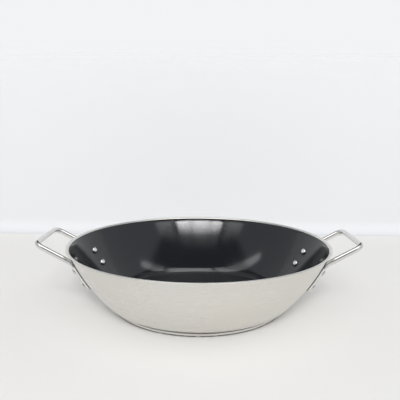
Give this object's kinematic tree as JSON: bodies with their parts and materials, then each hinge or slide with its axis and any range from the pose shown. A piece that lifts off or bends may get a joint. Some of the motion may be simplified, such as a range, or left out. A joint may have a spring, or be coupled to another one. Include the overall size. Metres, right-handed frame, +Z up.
{
  "type": "wok",
  "caption": "Wide flat-based steel wok with a dark non-stick lining, a flared lip, a sandwich base and riveted loop handles of bent rod on opposite sides.",
  "frame": {"origin": "on the table, under the middle of the base", "axes": "+X through the handle at the right of the picture, +Y away from the camera, +Z up"},
  "size_m": [0.4426, 0.3692, 0.1006],
  "materials": {
    "bowl_steel": "fine satin",
    "nonstick": "semi-gloss non-stick coat",
    "core_aluminium": "plain",
    "base_steel": "spun satin",
    "handle_steel": "polished",
    "rivet_steel": "polished"
  },
  "bodies": {
    "root": {"bowl": "bowl_steel", "nonstick_lining": "nonstick", "base_core": "core_aluminium", "base_cap": "base_steel", "handle_left": "handle_steel", "handle_right": "handle_steel", "rivet_left_front_upper": "rivet_steel", "rivet_left_front_lower": "rivet_steel", "rivet_left_rear_upper": "rivet_steel", "rivet_left_rear_lower": "rivet_steel", "rivet_right_front_upper": "rivet_steel", "rivet_right_front_lower": "rivet_steel", "rivet_right_rear_upper": "rivet_steel", "rivet_right_rear_lower": "rivet_steel"}
  },
  "joints": []
}
